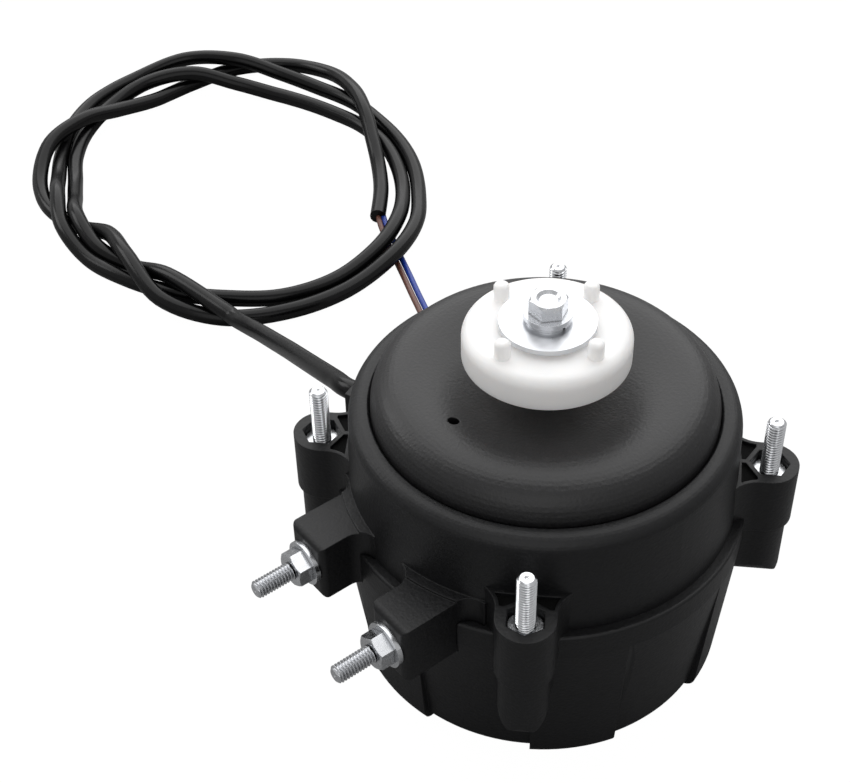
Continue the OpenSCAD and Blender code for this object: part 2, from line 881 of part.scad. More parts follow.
module coil_bobbins() {
    half_w = tooth_w / 2 + 0.1;
    half_h = stator_h / 2 + 0.1;
    tall = stator_h / 2 + end_h;
    color("#e9e4d2")
        at_teeth()
            difference() {
                union() {
                    across(half_w + spool_t, half_h + spool_t, spool_in_r, spool_out_r);
                    across(half_w + copper_t, half_h + copper_t + 0.6, spool_in_r, spool_in_r + spool_t);
                    across(cheek_half_w, tall, spool_out_r - spool_t, spool_out_r);
                }
                across(half_w, half_h, spool_in_r - 1, spool_out_r + 1);
            }
}

module coil_windings() {
    half_w = tooth_w / 2 + 0.1 + spool_t + fit_gap;
    half_h = stator_h / 2 + 0.1 + spool_t + fit_gap;
    build = copper_t - spool_t - 0.3;
    color("#b4662c")
        at_teeth()
            translate([spool_in_r + spool_t + fit_gap, 0, stator_z + stator_h / 2])
                rotate([90, 0, 90])
                    linear_extrude(spool_out_r - spool_in_r - 2 * spool_t - 2 * fit_gap)
                        difference() {
                            rounded_box(half_w + build, half_h + build, build);
                            square([2 * half_w, 2 * half_h], center = true);
                        }
}

module rounded_box(half_w, half_h, radius) {
    square([2 * (half_w - radius), 2 * half_h], center = true);
    square([2 * half_w, 2 * (half_h - radius)], center = true);
    for (x = [-1, 1], y = [-1, 1])
        translate([x * (half_w - radius), y * (half_h - radius)])
            circle(radius, $fn = 32);
}

module circuit_board() {
    color("#1f6b3a")
        difference() {
            ring(board_r, board_hole_r, board_z, board_t);
            for (angle = [60, 180, 300])
                rotate(angle)
                    translate([board_r - board_screw_d, 0, board_z - 1])
                        cylinder(d = board_screw_d, h = board_t + 2);
        }
}

// Two standing electrolytic cans with pinched sleeves
module capacitors() {
    color("#2b3a63")
        rotate(36)
            for (side = [-1, 1])
                translate([can_x, side * can_pitch / 2, board_top_z])
                    rotate_extrude($fn = 48)
                        polygon([[0, 0], [can_r - 0.3, 0], [can_r, 0.4], [can_r, 1.6],
                            [can_r - 0.4, 2], [can_r, 2.4], [can_r, can_h - 0.4],
                            [can_r - 0.4, can_h], [0, can_h]]);
}

// Drum choke: two flanges and a wound middle
module choke() {
    waist_r = choke_r - 0.8;
    color("#8a5a2a")
        rotate(100)
            translate([choke_x, 0, board_top_z])
                rotate_extrude($fn = 48)
                    polygon([[0, 0], [choke_r, 0], [choke_r, 1], [waist_r, 1.4],
                        [waist_r, choke_h - 1.4], [choke_r, choke_h - 1], [choke_r, choke_h],
                        [0, choke_h]]);
}

// Bridge rectifier and driver chips
module power_chips() {
    color("#1b1b1d")
        for (chip = chips)
            rotate(chip[0])
                translate([board_r - chip[1] - chip[2], -chip[3] / 2, board_top_z])
                    cube([chip[2], chip[3], chip[4]]);
}

// Sensor that hangs from the board and reads the magnet
module hall_sensor() {
    color("#1b1b1d")
        rotate(75)
            translate([board_hole_r + 1, -sensor_w / 2, board_z - sensor_h])
                cube([sensor_t, sensor_w, sensor_h]);
}

// Terminal block that the cable's end meets
module terminal_block() {
    color("#3d7f4c")
        rotate(cable_angle)
            difference() {
                translate([block_r - block_l, -block_w / 2, board_top_z])
                    cube([block_l, block_w, block_h]);
                for (side = [-1, 1])
                    translate([block_r - block_l / 2, side * 2.6, board_top_z + 5])
                        cylinder(d = 2.6, h = block_h, $fn = 32);
            }
}

// Bolt on the local Z axis, head below: its shank has the thread's mean radius up to the nut's end
module bolt(length, held) {
    rotate([180, 0, 0])
        linear_extrude(bolt_head_h)
            hexagon(hex_corner_r);
    rotate_extrude($fn = 48)
        polygon([[0, -eps], [shank_r, -eps], [shank_r, held + joint_gap],
            [thread_d / 2, held + joint_gap], [thread_d / 2, length - stud_chamfer],
            [thread_d / 2 - stud_chamfer, length], [0, length]]);
}

module through_bolts() {
    color("#d3d5d8")
        at_corners()
            translate([stud_r, 0, bolt_seat_z])
                bolt(stud_tip_z - bolt_seat_z, nut_floor_z + nut_h - bolt_seat_z);
}

module side_bolts() {
    color("#d3d5d8")
        at_sides()
            translate([0, 0, side_head_y])
                rotate(30)
                    bolt(side_tip_y - side_head_y, side_end_y + flange_t + nut_h - side_head_y);
}

// Hexagon with chamfered corners, on the local Z axis
module nut_body(height) {
    intersection() {
        linear_extrude(height)
            hexagon(hex_corner_r);
        rotate_extrude()
            polygon([[0, 0], [hex_corner_r - 0.5, 0], [hex_corner_r + 0.3, 0.5],
                [hex_corner_r + 0.3, height - 0.5], [hex_corner_r - 0.5, height],
                [0, height]]);
    }
}

module nut(height) {
    difference() {
        nut_body(height);
        translate([0, 0, -1])
            cylinder(r = shank_r + fit_gap, h = height + 2);
    }
}

module flange_nut() {
    difference() {
        union() {
            cylinder(d = flange_d, h = flange_t);
            nut_body(flange_t + nut_h);
        }
        translate([0, 0, -1])
            cylinder(r = shank_r + fit_gap, h = flange_t + nut_h + 2);
    }
}

module clamp_nuts() {
    color("#c4c7cb")
        at_corners()
            translate([stud_r, 0, nut_floor_z])
                nut(nut_h);
}

module flange_nuts() {
    color("#d3d5d8")
        at_sides()
            translate([0, 0, side_end_y])
                rotate(30)
                    flange_nut();
}

// Rubber sleeve round the cable in the wall, with a collar inside
module cable_grommet() {
    color("#171717")
        rotate(cable_angle)
            translate([grommet_in_r, 0, cable_z])
                rotate([0, 90, 0])
                    difference() {
                        union() {
                            cylinder(r = grommet_r, h = lug_end_r - grommet_in_r);
                            cylinder(r = grommet_r + 0.9, h = collar_t);
                        }
                        translate([0, 0, -1])
                            cylinder(r = cable_d / 2 + fit_gap, h = lug_end_r - grommet_in_r + 2);
                    }
}

function unit(v) = v / norm(v);

// Direction of a route at one of its points
function heading(route, i) =
    unit(unit(route[min(i + 1, len(route) - 1)] - route[min(i, len(route) - 2)])
        + unit(route[max(i, 1)] - route[max(i - 1, 0)]));

// Tube along a route: one ring of points at each of the route's own points
module tube(route, diameter, sides) {
    last = len(route) - 1;
    rings = [for (i = [0 : last])
        let (along = heading(route, i), across = unit(cross(along, [0, 0, 1])),
            up = cross(across, along))
        for (j = [0 : sides - 1])
            route[i] + diameter / 2 * (across * cos(360 * j / sides) + up * sin(360 * j / sides))];
    walls = [for (i = [0 : last - 1], j = [0 : sides - 1])
        let (k = (j + 1) % sides)
        [i * sides + j, (i + 1) * sides + j, (i + 1) * sides + k, i * sides + k]];
    ends = [[for (j = [0 : sides - 1]) j],
        [for (j = [sides - 1 : -1 : 0]) last * sides + j]];
    polyhedron(rings, concat(walls, ends), convexity = 6);
}

function turned(p, angle) =
    [p[0] * cos(angle) - p[1] * sin(angle), p[0] * sin(angle) + p[1] * cos(angle), p[2]];

module supply_cable() {
    color("#1c1c1e")
        tube(concat([for (p = cable_start) turned(p, cable_angle)], cable_route), cable_d, 10);
}

// Closed oval of the coil's outer shape
module cable_coil() {
    color("#1c1c1e")
        translate([coil_middle[0], coil_middle[1], 0])
            rotate(coil_turn)
                linear_extrude(coil_h)
                    difference() {
                        oval(coil_half_l, coil_out_r);
                        oval(coil_half_l, coil_in_r);
                    }
}

module oval(half_l, radius) {
    square([2 * half_l, 2 * radius], center = true);
    for (x = [-half_l, half_l])
        translate([x, 0])
            circle(radius);
}

// One core: the pair's route moved sideways by half a core's width
module core(side) {
    along = unit(core_route[len(core_route) - 1] - core_route[0]);
    aside = side * (core_d / 2 + 0.1) * [along[1], -along[0], 0];
    tube([for (p = core_route) p + aside], core_d, 8);
}

module brown_core() {
    color("#7a4a38")
        core(1);
}

module blue_core() {
    color("#1f3f9e")
        core(-1);
}

rear_shell();
front_shell();
dome_cover();
shell_gasket();
hub();
fan_washer();
spring_washer();
hub_screw();
shaft();
rotor_core();
rotor_magnet();
thrust_washers();
retaining_clip();
rear_bearing();
front_bearing();
thrust_pad();
stator_core();
coil_bobbins();
coil_windings();
circuit_board();
capacitors();
choke();
power_chips();
hall_sensor();
terminal_block();
through_bolts();
clamp_nuts();
side_bolts();
flange_nuts();
cable_grommet();
supply_cable();
cable_coil();
brown_core();
blue_core();
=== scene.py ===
"""Dresses the fan motor's solids and adds its threads, its coiled cable and a plain stage."""

import json
import math

import bmesh
import bpy
from mathutils import Matrix, Vector


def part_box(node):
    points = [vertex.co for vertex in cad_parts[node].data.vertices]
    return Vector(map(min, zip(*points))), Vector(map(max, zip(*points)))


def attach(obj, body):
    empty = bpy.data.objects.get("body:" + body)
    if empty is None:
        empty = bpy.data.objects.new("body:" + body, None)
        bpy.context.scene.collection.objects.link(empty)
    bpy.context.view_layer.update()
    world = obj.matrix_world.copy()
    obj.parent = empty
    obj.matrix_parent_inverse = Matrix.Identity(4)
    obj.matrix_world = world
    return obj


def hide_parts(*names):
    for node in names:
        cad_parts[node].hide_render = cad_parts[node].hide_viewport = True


bl_info = {
    "name": "Fan motor",
    "version": (1, 0, 0),
    "blender": (4, 5, 0),
    "location": "3D View > Sidebar > Fan motor",
    "description": "Finishes, threads, cable and stage of a small round fan motor",
    "category": "Object",
}

MM = 0.001

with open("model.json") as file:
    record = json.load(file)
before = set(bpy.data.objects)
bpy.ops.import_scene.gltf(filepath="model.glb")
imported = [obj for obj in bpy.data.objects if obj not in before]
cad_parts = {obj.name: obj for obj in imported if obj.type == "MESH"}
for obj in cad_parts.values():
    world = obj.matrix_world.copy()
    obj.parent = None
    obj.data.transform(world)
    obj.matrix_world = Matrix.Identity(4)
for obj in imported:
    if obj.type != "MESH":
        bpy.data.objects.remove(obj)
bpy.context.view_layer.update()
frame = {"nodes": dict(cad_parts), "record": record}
mounts = {mount["name"]: mount for mount in frame["record"]["mounts"]}

# Camera: where it stands, its own axes and its focal length in pixels of the picture
PICTURE_W = 851
CAMERA_PLACE = (0.18311, -0.16898, 0.29145)
CAMERA_RIGHT = (0.6156, 0.7879, -0.0191)
CAMERA_UP = (-0.5170, 0.4220, 0.7447)
FOCAL_PX = 1613.9

# Route of the cable in millimetres, from the terminal block through the wall and down to the coil
LEAD = [
    (-31.6, -12.8, 48.2),
    (-44.5, -18, 48.2),
    (-53, -17, 45.2),
    (-63.5, -14.7, 40.1),
    (-74.5, -12, 34.4),
    (-85, -9.3, 28.8),
    (-96, -6.6, 22.9),
    (-107, -3.9, 17),
    (-117.5, -1.7, 11.6),
    (-127, -0.5, 7.8),
    (-134, -1, 7.5),
]
# The loose turns round the coil's middle: radius in millimetres at every step of the angle
COIL_MIDDLE = (-195, 41)
COIL_START = -50
COIL_STEP = 15
INNER_TURN = [59, 54, 54, 52, 49, 49, 52, 56, 60, 60, 56, 52, 49, 47, 47, 49, 51, 53, 56, 60, 64, 66, 66, 63]
MIDDLE_TURN = [61, 59, 58, 57, 54, 54, 57, 62, 67, 70, 69, 62, 59, 57, 56, 55, 56, 58, 61, 66, 70, 72, 73, 72]
LAST_TURN = [67, 56, 49, 51, 57, 60, 60, 56, 54, 54, 58, 65, 68, 64, 56, 50, 47, 47, 49, 53]
# Where a strand rides over others: turned angle from the coil's start, rise and half width in degrees
COIL_HUMPS = [(-8, 5.4, 28), (45, 5.4, 27), (147, 5.4, 30), (294, 2.2, 28), (416, 5.5, 30),
              (522, 5.4, 30), (656, 2.2, 26), (738, 6.3, 30), (820, 5.6, 34), (940, 6.3, 42)]

# The two cores beyond the jacket: middle of the pair and the share of their full spread
CORE_PAIR = [
    (-149, 65.6, 2.4, 0.75),
    (-143, 62.6, 1.6, 0.9),
    (-136, 60, 0.9, 1),
    (-128, 56.7, 0.9, 1),
    (-119.5, 53.4, 0.9, 1),
    (-111, 50, 0.9, 1),
    (-103, 46.9, 0.9, 1),
    (-96, 43.8, 0.9, 1),
    (-90.5, 40.8, 0.9, 1),
]
CORE_APART = 0.95

# How much of the floor's own white the camera sees, and how strong it is
FLOOR_SHARE = 0.9
FLOOR_GLOW = 1.1

# Corner bosses: nut's depth in its socket, flare, and the frames and floors of their pockets
NUT_INSET = 1.2 * MM
HEX_GAP = 0.15 * MM
FLARE_SET = 1.8 * MM
FLARE_R = 7.3 * MM
WALL_OUT = 5.6 * MM
POCKET_FRAME = 1 * MM
POCKET_RIM = 0.8 * MM
POCKET_FLOOR = 0.05 * MM


def metres(point):
    return Vector(point[:3]) * MM


class FanMotorColours(bpy.types.PropertyGroup):
    """Colours of the finishes"""

    casting: bpy.props.FloatVectorProperty(
        name="Housing", description="Black of the moulded housing", subtype="COLOR",
        default=(0.0062, 0.0063, 0.007), min=0, max=1)
    dome: bpy.props.FloatVectorProperty(
        name="Dome", description="Black of the dome cover", subtype="COLOR",
        default=(0.0095, 0.0093, 0.01), min=0, max=1)
    nylon: bpy.props.FloatVectorProperty(
        name="Hub", description="White of the fan hub", subtype="COLOR",
        default=(0.9, 0.89, 0.88), min=0, max=1)
    zinc: bpy.props.FloatVectorProperty(
        name="Zinc", description="Bright zinc plating", subtype="COLOR",
        default=(0.61, 0.62, 0.64), min=0, max=1)
    jacket: bpy.props.FloatVectorProperty(
        name="Jacket", description="Black of the cable's jacket", subtype="COLOR",
        default=(0.003, 0.003, 0.0033), min=0, max=1)
    brown: bpy.props.FloatVectorProperty(
        name="Brown core", description="Insulation of the brown core", subtype="COLOR",
        default=(0.13, 0.05, 0.035), min=0, max=1)
    blue: bpy.props.FloatVectorProperty(
        name="Blue core", description="Insulation of the blue core", subtype="COLOR",
        default=(0.008, 0.04, 0.3), min=0, max=1)


class FanMotorSizes(bpy.types.PropertyGroup):
    """Sizes of the pieces that are added to the solids"""

    thread_pitch: bpy.props.FloatProperty(
        name="Thread pitch", description="Rise of the thread in one turn", unit="LENGTH",
        default=0.7 * MM, min=0.4 * MM, max=1 * MM)
    thread_depth: bpy.props.FloatProperty(
        name="Thread depth", description="Depth of the thread's groove", unit="LENGTH",
        default=0.4 * MM, min=0.1 * MM, max=0.6 * MM)
    hex_af: bpy.props.FloatProperty(
        name="Hexagons", description="Size of every hexagon across its flats", unit="LENGTH",
        default=7 * MM, min=6.5 * MM, max=8 * MM)
    bolt_head_h: bpy.props.FloatProperty(
        name="Bolt heads", description="Height of the bolts' hexagon heads", unit="LENGTH",
        default=2.8 * MM, min=2 * MM, max=3.5 * MM)
    cap_nose_r: bpy.props.FloatProperty(
        name="Boss nose", description="Radius of the corner bosses' upper noses", unit="LENGTH",
        default=6.1 * MM, min=5.6 * MM, max=6.6 * MM)
    cap_rise: bpy.props.FloatProperty(
        name="Boss rim", description="Height of the rim and ribs on a corner boss", unit="LENGTH",
        default=0.8 * MM, min=0.3 * MM, max=1.5 * MM)
    cap_drop: bpy.props.FloatProperty(
        name="Boss skirt", description="How far the upper bosses reach below the joint",
        unit="LENGTH", default=4 * MM, min=2 * MM, max=6 * MM)
    cable_d: bpy.props.FloatProperty(
        name="Cable", description="Diameter of the cable's jacket", unit="LENGTH",
        default=4.8 * MM, min=4.6 * MM, max=5 * MM)
    core_d: bpy.props.FloatProperty(
        name="Core", description="Diameter of one insulated core", unit="LENGTH",
        default=1.7 * MM, min=1.4 * MM, max=2 * MM)
    bare_d: bpy.props.FloatProperty(
        name="Bare end", description="Diameter of a core's stripped strands", unit="LENGTH",
        default=1.0 * MM, min=0.6 * MM, max=1.4 * MM)
    bare_length: bpy.props.FloatProperty(
        name="Stripped length", description="Length of the stripped end of a core", unit="LENGTH",
        default=6 * MM, min=3 * MM, max=9 * MM)
    grain: bpy.props.FloatProperty(
        name="Grain", description="Height of the moulded grain", unit="LENGTH",
        default=0.07 * MM, min=0, max=0.3 * MM)


class FanMotorStage(bpy.types.PropertyGroup):
    """Lights and backdrop"""

    key_power: bpy.props.FloatProperty(
        name="Key light", description="Power of the softbox above and behind, in watts",
        default=20, min=0, max=50)
    fill_power: bpy.props.FloatProperty(
        name="Fill light", description="Power of the soft light beside the camera, in watts",
        default=3.2, min=0, max=50)
    rim_power: bpy.props.FloatProperty(
        name="Side light", description="Power of the strip light on the left, in watts",
        default=2.6, min=0, max=50)
    world: bpy.props.FloatProperty(
        name="Room", description="Strength of the light from all round",
        default=0.16, min=0, max=2)
    mirrored: bpy.props.FloatProperty(
        name="Room in reflections", description="Strength of the room as the plating mirrors it",
        default=0.6, min=0, max=2)
    floor_w: bpy.props.FloatProperty(
        name="Floor", description="Width of the floor", unit="LENGTH", default=4, min=1, max=20)


class ShaderBuilder:
    """Adds nodes to a tree and joins them, so that a material reads as a short list."""

    def __init__(self, tree):
        self.tree = tree

    def add(self, kind, inputs=None, **settings):
        node = self.tree.nodes.new(kind)
        for name, value in settings.items():
            setattr(node, name, value)
        for name, value in (inputs or {}).items():
            socket = node.inputs[name]
            if isinstance(value, bpy.types.NodeSocket):
                self.tree.links.new(value, socket)
            else:
                socket.default_value = value
        return node

    def ramp(self, factor, stops):
        node = self.add("ShaderNodeValToRGB", {"Fac": factor})
        elements = node.color_ramp.elements
        while len(elements) < len(stops):
            elements.new(0.5)
        for element, (position, value) in zip(elements, stops):
            element.position = position
            element.color = (value, value, value, 1)
        return node.outputs["Color"]

    def math(self, operation, first, second):
        return self.add("ShaderNodeMath", {0: first, 1: second}, operation=operation).outputs[0]


def new_group(name, inputs, outputs):
    """A shader node group with its sockets; gives the group, its builder and its two ends."""
    group = bpy.data.node_groups.new(name, "ShaderNodeTree")
    for socket, default in inputs.items():
        kind = "NodeSocketColor" if isinstance(default, tuple) else "NodeSocketFloat"
        group.interface.new_socket(socket, in_out="INPUT", socket_type=kind).default_value = default
    for socket, kind in outputs.items():
        group.interface.new_socket(socket, in_out="OUTPUT", socket_type=kind)
    builder = ShaderBuilder(group)
    return group, builder, builder.add("NodeGroupInput"), builder.add("NodeGroupOutput")


def moulded_grain_group():
    """Fine grain of a moulded surface: a height, and a slight change of tone and roughness."""
    group, build, source, sink = new_group(
        "Moulded grain",
        {"Colour": (0.02, 0.02, 0.02, 1), "Roughness": 0.5, "Scale": 2500.0, "Mottle": 0.12},
        {"Colour": "NodeSocketColor", "Roughness": "NodeSocketFloat", "Height": "NodeSocketFloat"})
    place = build.add("ShaderNodeTexCoord").outputs["Object"]
    fine = build.add("ShaderNodeTexVoronoi",
                     {"Vector": place, "Scale": source.outputs["Scale"], "Randomness": 1.0},
                     feature="SMOOTH_F1")
    coarse_scale = build.math("MULTIPLY", source.outputs["Scale"], 0.8)
    coarse = build.add("ShaderNodeTexNoise",
                       {"Vector": place, "Scale": coarse_scale, "Detail": 3.0, "Roughness": 0.6})
    broad = build.add("ShaderNodeTexNoise", {"Vector": place, "Scale": 28.0, "Detail": 4.0})
    height = build.math("ADD", build.math("MULTIPLY", fine.outputs["Distance"], 0.6),
                        build.math("MULTIPLY", coarse.outputs["Fac"], 0.6))
    sway = build.math("SUBTRACT", build.math(
        "ADD", build.math("MULTIPLY", broad.outputs["Fac"], 0.25),
        build.math("MULTIPLY", coarse.outputs["Fac"], 0.75)), 0.5)
    gain = build.math("ADD", build.math("MULTIPLY", sway, source.outputs["Mottle"]), 1.0)
    tone = build.add("ShaderNodeMix", {0: 1.0, 6: source.outputs["Colour"], 7: gain},
                     data_type="RGBA", blend_type="MULTIPLY")
    rough = build.math("ADD", source.outputs["Roughness"], build.math("MULTIPLY", sway, 0.18))
    group.links.new(tone.outputs[2], sink.inputs["Colour"])
    group.links.new(rough, sink.inputs["Roughness"])
    group.links.new(height, sink.inputs["Height"])
    return group


def plating_group():
    """Bright plating: small clouds and fine marks in tone and roughness, and a faint height."""
    group, build, source, sink = new_group(
        "Plating",
        {"Colour": (0.75, 0.76, 0.78, 1), "Roughness": 0.25, "Scale": 700.0, "Clouding": 0.2},
        {"Colour": "NodeSocketColor", "Roughness": "NodeSocketFloat", "Height": "NodeSocketFloat"})
    place = build.add("ShaderNodeTexCoord").outputs["Object"]
    clouds = build.add("ShaderNodeTexNoise",
                       {"Vector": place, "Scale": source.outputs["Scale"], "Detail": 4.0})
    marks = build.add("ShaderNodeTexNoise", {
        "Vector": build.add("ShaderNodeMapping", {"Vector": place, "Scale": (1, 1, 6)}).outputs[0],
        "Scale": build.math("MULTIPLY", source.outputs["Scale"], 3.0), "Detail": 2.0})
    sway = build.math("SUBTRACT", clouds.outputs["Fac"], 0.5)
    gain = build.math("ADD", build.math("MULTIPLY", sway, source.outputs["Clouding"]), 1.0)
    tone = build.add("ShaderNodeMix", {0: 1.0, 6: source.outputs["Colour"], 7: gain},
                     data_type="RGBA", blend_type="MULTIPLY")
    rough = build.math("ADD", source.outputs["Roughness"], build.math("MULTIPLY", sway, 0.25))
    height = build.math("ADD", clouds.outputs["Fac"], build.math("MULTIPLY", marks.outputs["Fac"], 0.5))
    group.links.new(tone.outputs[2], sink.inputs["Colour"])
    group.links.new(rough, sink.inputs["Roughness"])
    group.links.new(height, sink.inputs["Height"])
    return group


def drawn_group():
    """Rings and layers along Z, as on ground, drawn or stacked metal and on wound wire."""
    group, build, source, sink = new_group(
        "Layers",
        {"Colour": (0.3, 0.3, 0.3, 1), "Roughness": 0.35, "Layers": 2000.0, "Contrast": 0.4},
        {"Colour": "NodeSocketColor", "Roughness": "NodeSocketFloat", "Height": "NodeSocketFloat"})
    place = build.add("ShaderNodeTexCoord").outputs["Object"]
    bands = build.add("ShaderNodeTexWave",
                      {"Vector": place, "Scale": source.outputs["Layers"], "Distortion": 0.4},
                      bands_direction="Z")
    sway = build.math("SUBTRACT", bands.outputs["Fac"], 0.5)
    gain = build.math("ADD", build.math("MULTIPLY", sway, source.outputs["Contrast"]), 1.0)
    tone = build.add("ShaderNodeMix", {0: 1.0, 6: source.outputs["Colour"], 7: gain},
                     data_type="RGBA", blend_type="MULTIPLY")
    rough = build.math("ADD", source.outputs["Roughness"], build.math("MULTIPLY", sway, 0.1))
    group.links.new(tone.outputs[2], sink.inputs["Colour"])
    group.links.new(rough, sink.inputs["Roughness"])
    group.links.new(bands.outputs["Fac"], sink.inputs["Height"])
    return group


GROUP_MAKERS = {
    "Moulded grain": moulded_grain_group,
    "Plating": plating_group,
    "Layers": drawn_group,
}


def finish(name, group_name, group_inputs, bump_height, edge_radius=0, shader=None, groove=0):
    """A material: a shared group feeds the shader's colour, roughness and bump.

    With a groove depth, hollows narrower than that get painted shade: ambient occlusion darkens their colour."""
    material = bpy.data.materials.get(name)
    if material:
        return material
    group = bpy.data.node_groups.get(group_name) or GROUP_MAKERS[group_name]()
    material = bpy.data.materials.new(name)
    material.use_nodes = True
    build = ShaderBuilder(material.node_tree)
    principled = material.node_tree.nodes["Principled BSDF"]
    surface = build.add("ShaderNodeGroup", node_tree=group)
    for socket, value in group_inputs.items():
        surface.inputs[socket].default_value = value
    bump = build.add("ShaderNodeBump",
                     {"Height": surface.outputs["Height"], "Distance": bump_height, "Strength": 1.0})
    if edge_radius:
        rounded = build.add("ShaderNodeBevel", {"Radius": edge_radius}, samples=6)
        material.node_tree.links.new(rounded.outputs[0], bump.inputs["Normal"])
    colour = surface.outputs["Colour"]
    if groove:
        # Painted shade: ambient occlusion darkens the colour in hollows narrower than the groove depth.
        open_share = build.add("ShaderNodeAmbientOcclusion", {"Distance": groove}, samples=8)
        painted_shade = build.ramp(open_share.outputs["AO"], [(0.25, 0.03), (0.75, 1)])
        colour = build.add("ShaderNodeMix", {0: 1.0, 6: colour, 7: painted_shade},
                           data_type="RGBA", blend_type="MULTIPLY").outputs[2]
    material.node_tree.links.new(colour, principled.inputs["Base Color"])
    material.node_tree.links.new(surface.outputs["Roughness"], principled.inputs["Roughness"])
    material.node_tree.links.new(bump.outputs[0], principled.inputs["Normal"])
    for socket, value in (shader or {}).items():
        principled.inputs[socket].default_value = value
    return material


def opaque(colour):
    return (colour[0], colour[1], colour[2], 1)


def moulded_black(name, colour, roughness, scale, height, specular=0.5, edge_radius=0.35 * MM):
    return finish(name, "Moulded grain",
                  {"Colour": opaque(colour), "Roughness": roughness, "Scale": scale, "Mottle": 1.6},
                  height, edge_radius, {"Specular IOR Level": specular})


def casting_finish():
    scene = bpy.context.scene
    return moulded_black("Housing black", scene.motor_colours.casting, 0.46, 1500,
                         scene.motor_sizes.grain, 0.3)


def dome_finish():
    scene = bpy.context.scene
    return moulded_black("Dome black", scene.motor_colours.dome, 0.42, 1700,
                         scene.motor_sizes.grain, 0.4)


def nylon_finish():
    # Painted light: a faint warm emission makes the hub glow and lightens its shaded sides.
    return finish("White nylon", "Moulded grain",
                  {"Colour": opaque(bpy.context.scene.motor_colours.nylon), "Roughness": 0.42,
                   "Scale": 1500, "Mottle": 0.04},
                  0.006 * MM, 0.3 * MM,
                  {"Subsurface Weight": 0.8, "Subsurface Radius": (1.0, 0.92, 0.86),
                   "Subsurface Scale": 5 * MM, "Emission Color": (1, 0.97, 0.95, 1),
                   "Emission Strength": 0.12})


def zinc_finish():
    return finish("Zinc plating", "Plating",
                  {"Colour": opaque(bpy.context.scene.motor_colours.zinc), "Roughness": 0.24,
                   "Scale": 900, "Clouding": 0.18},
                  0.004 * MM, 0.12 * MM, {"Metallic": 1.0}, groove=0.8 * MM)


def thread_finish():
    return finish("Zinc thread", "Plating",
                  {"Colour": opaque(bpy.context.scene.motor_colours.zinc), "Roughness": 0.2,
                   "Scale": 900, "Clouding": 0.15},
                  0.003 * MM, 0, {"Metallic": 1.0}, groove=0.5 * MM)


def washer_finish():
    return finish("Zinc washer", "Plating",
                  {"Colour": opaque(bpy.context.scene.motor_colours.zinc), "Roughness": 0.33,
                   "Scale": 500, "Clouding": 0.12},
                  0.006 * MM, 0.15 * MM, {"Metallic": 1.0})


def rubber_finish():
    return moulded_black("Soft rubber", (0.012, 0.012, 0.012), 0.6, 1800, 0.01 * MM)


def shade_finish():
    # Painted shade: near-black and duller than the housing, for the shade in the bosses' pockets.
    return moulded_black("Pocket painted shade", (0.002, 0.002, 0.002), 0.8, 2200, 0.01 * MM, 0.1, 0)


def jacket_finish():
    return moulded_black("Cable jacket", bpy.context.scene.motor_colours.jacket, 0.22, 900,
                         0.01 * MM, 0.2, 0)


def core_finish(name, colour):
    return finish(name, "Moulded grain",
                  {"Colour": opaque(colour), "Roughness": 0.35, "Scale": 1200, "Mottle": 0.15},
                  0.004 * MM)


def metal(name, colour, roughness, layers=2500, contrast=0.2):
    return finish(name, "Layers",
                  {"Colour": opaque(colour), "Roughness": roughness, "Layers": layers,
                   "Contrast": contrast},
                  0.01 * MM, 0.1 * MM, {"Metallic": 1.0})


def plain_moulding(name, colour, roughness=0.45):
    return finish(name, "Moulded grain",
                  {"Colour": opaque(colour), "Roughness": roughness, "Scale": 1800, "Mottle": 0.15},
                  0.008 * MM, 0.15 * MM)


def coat_nodes(node_names, material):
    """Puts one material on all the slots of the named solids."""
    for name in node_names:
        mesh = frame["nodes"][name].data
        mesh.materials.clear()
        mesh.materials.append(material)


def smooth_by_angle(mesh, angle=35):
    """Smooth shading, with edges sharper than the angle kept crisp."""
    for polygon in mesh.polygons:
        polygon.use_smooth = True
    mesh.set_sharp_from_angle(angle=math.radians(angle))


def object_from_bmesh(name, bm, material, body):
    bmesh.ops.recalc_face_normals(bm, faces=bm.faces)
    mesh = bpy.data.meshes.new(name)
    bm.to_mesh(mesh)
    bm.free()
    smooth_by_angle(mesh)
    mesh.materials.append(material)
    piece = bpy.data.objects.new(name, mesh)
    bpy.context.scene.collection.objects.link(piece)
    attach(piece, body)
    return piece


def thread_radius(turned, along, radius, sizes):
    """Radius of the thread's surface where the angle, in turns, and the length along it are given."""
    place = (along / sizes.thread_pitch - turned) % 1
    share = min(max((0.85 - abs(2 * place - 1)) / 0.7, 0), 1)
    return radius - sizes.thread_depth * (1 - share)


def add_threaded_end(bm, place, low, tip, radius, sizes):
    """One threaded rod from low to tip along the local Z axis, with a coned and centred tip."""
    columns = 32
    rows = math.ceil((tip - low) / sizes.thread_pitch * 8)
    tip_r = radius - 1.5 * sizes.thread_depth
    mark_r = radius / 4
    thread = bmesh.new()
    rings = []
    for row in range(rows + 1):
        z = low + (tip - low) * row / rows
        allowed = tip_r + (tip - z) * 1.2
        ring = []
        for column in range(columns):
            turned = column / columns
            reach = min(thread_radius(turned, z - low, radius, sizes), allowed)
            ring.append(thread.verts.new((reach * math.cos(math.tau * turned),
                                          reach * math.sin(math.tau * turned), z)))
        rings.append(ring)
    for reach, z in ((mark_r, tip), (mark_r / 3, tip - mark_r / 2)):
        rings.append([thread.verts.new((reach * math.cos(math.tau * column / columns),
                                        reach * math.sin(math.tau * column / columns), z))
                      for column in range(columns)])
    for below, above in zip(rings, rings[1:]):
        for column in range(columns):
            after = (column + 1) % columns
            thread.faces.new((below[column], below[after], above[after], above[column]))
    thread.faces.new(rings[-1])
    thread.faces.new(rings[0][::-1])
    copy_into(thread, bm, place)


def copy_into(part, bm, place):
    """Moves a finished bmesh to its place and adds it to another one."""
    bmesh.ops.transform(part, matrix=place, verts=part.verts)
    mesh = bpy.data.meshes.new("part")
    part.to_mesh(mesh)
    part.free()
    bm.from_mesh(mesh)
    bpy.data.meshes.remove(mesh)


